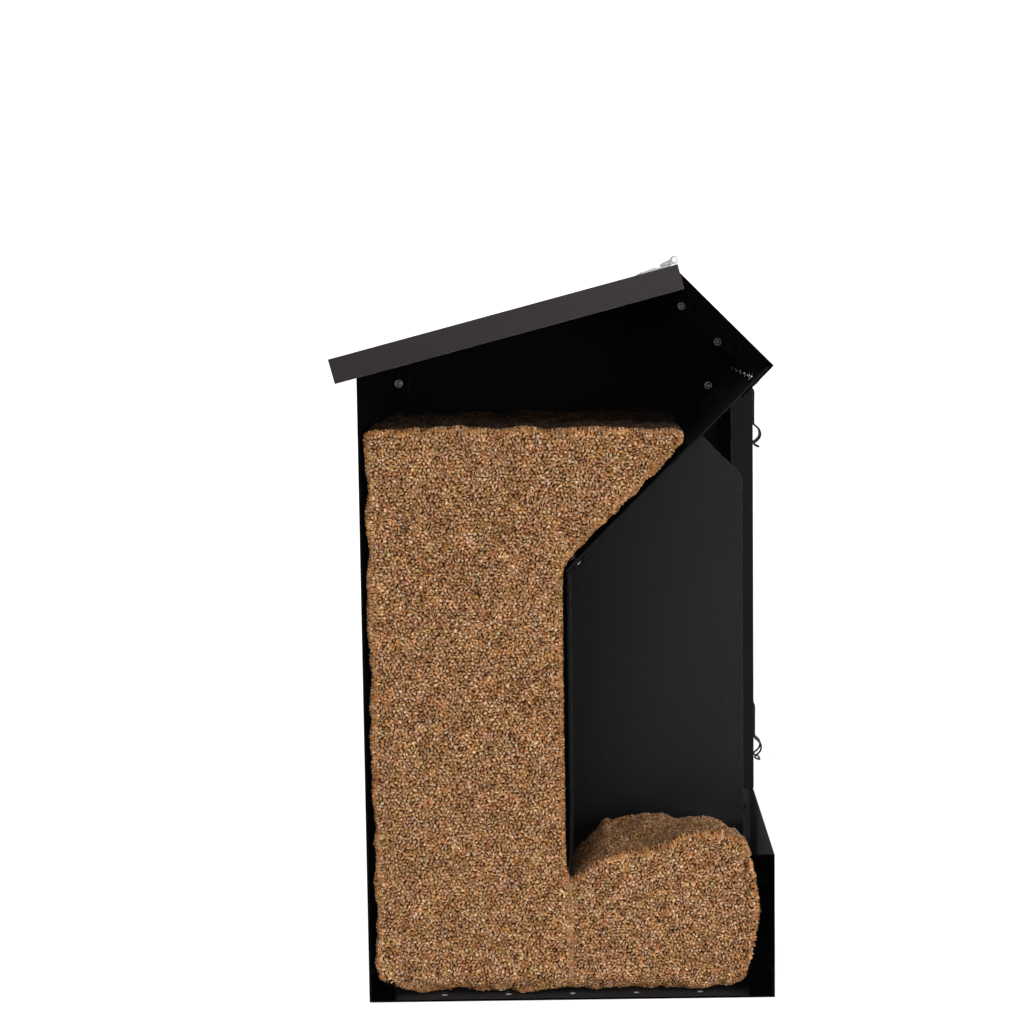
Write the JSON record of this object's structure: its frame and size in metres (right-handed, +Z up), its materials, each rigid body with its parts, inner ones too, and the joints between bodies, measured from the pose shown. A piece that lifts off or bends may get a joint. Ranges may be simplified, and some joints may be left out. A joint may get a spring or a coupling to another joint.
{
  "type": "rabbit feeder",
  "caption": "Tall sheet-steel gravity feeder for rabbits: hopper with hinged tray lid, baffle and chute, divided feeding trough under a sloping hood, wire clips for cage mesh.",
  "frame": {"origin": "centre of the base's underside", "axes": "+X towards the feeding side, +Y across the width to the right-hand panel as seen by the animal from the feeding side, +Z up"},
  "size_m": [0.18, 0.12, 0.305],
  "materials": {
    "black_coat": "matt black powder coat on sheet steel",
    "lid_coat": "satin brown-black powder coat on sheet steel",
    "clear_panel": null,
    "zinc_plate": "bright zinc plate",
    "clip_wire": "drawn spring wire",
    "rivet_metal": "bare blind rivets"
  },
  "bodies": {
    "housing": {"side_panel_left": "clear_panel", "side_panel_right": "black_coat", "back_panel": "black_coat", "floor_panel": "black_coat", "trough_front": "black_coat", "hood_panel": "black_coat", "chute_plate": "black_coat", "baffle_plate": "black_coat", "divider_plate": "black_coat", "hinge_leaf_fixed": "zinc_plate", "hinge_pin": "zinc_plate", "clip_upper_left": "clip_wire", "clip_upper_right": "clip_wire", "clip_lower_left": "clip_wire", "clip_lower_right": "clip_wire", "rivets_side_left": "rivet_metal", "rivets_side_right": "rivet_metal", "rivets_hood_lap": "rivet_metal", "rivets_baffle": "rivet_metal", "rivets_divider": "rivet_metal", "rivets_back": "rivet_metal", "rivets_hinge_fixed": "black_coat"},
    "lid": {"lid_tray": "lid_coat", "hinge_leaf_lid": "zinc_plate", "rivets_hinge_lid": "rivet_metal"}
  },
  "joints": [
    {"name": "lid_hinge", "type": "hinge", "parent": "housing", "child": "lid", "pos_m": [0.04393, 0, 0.30314], "axis": [0, 1, 0], "range_deg": [0, 120]}
  ]
}
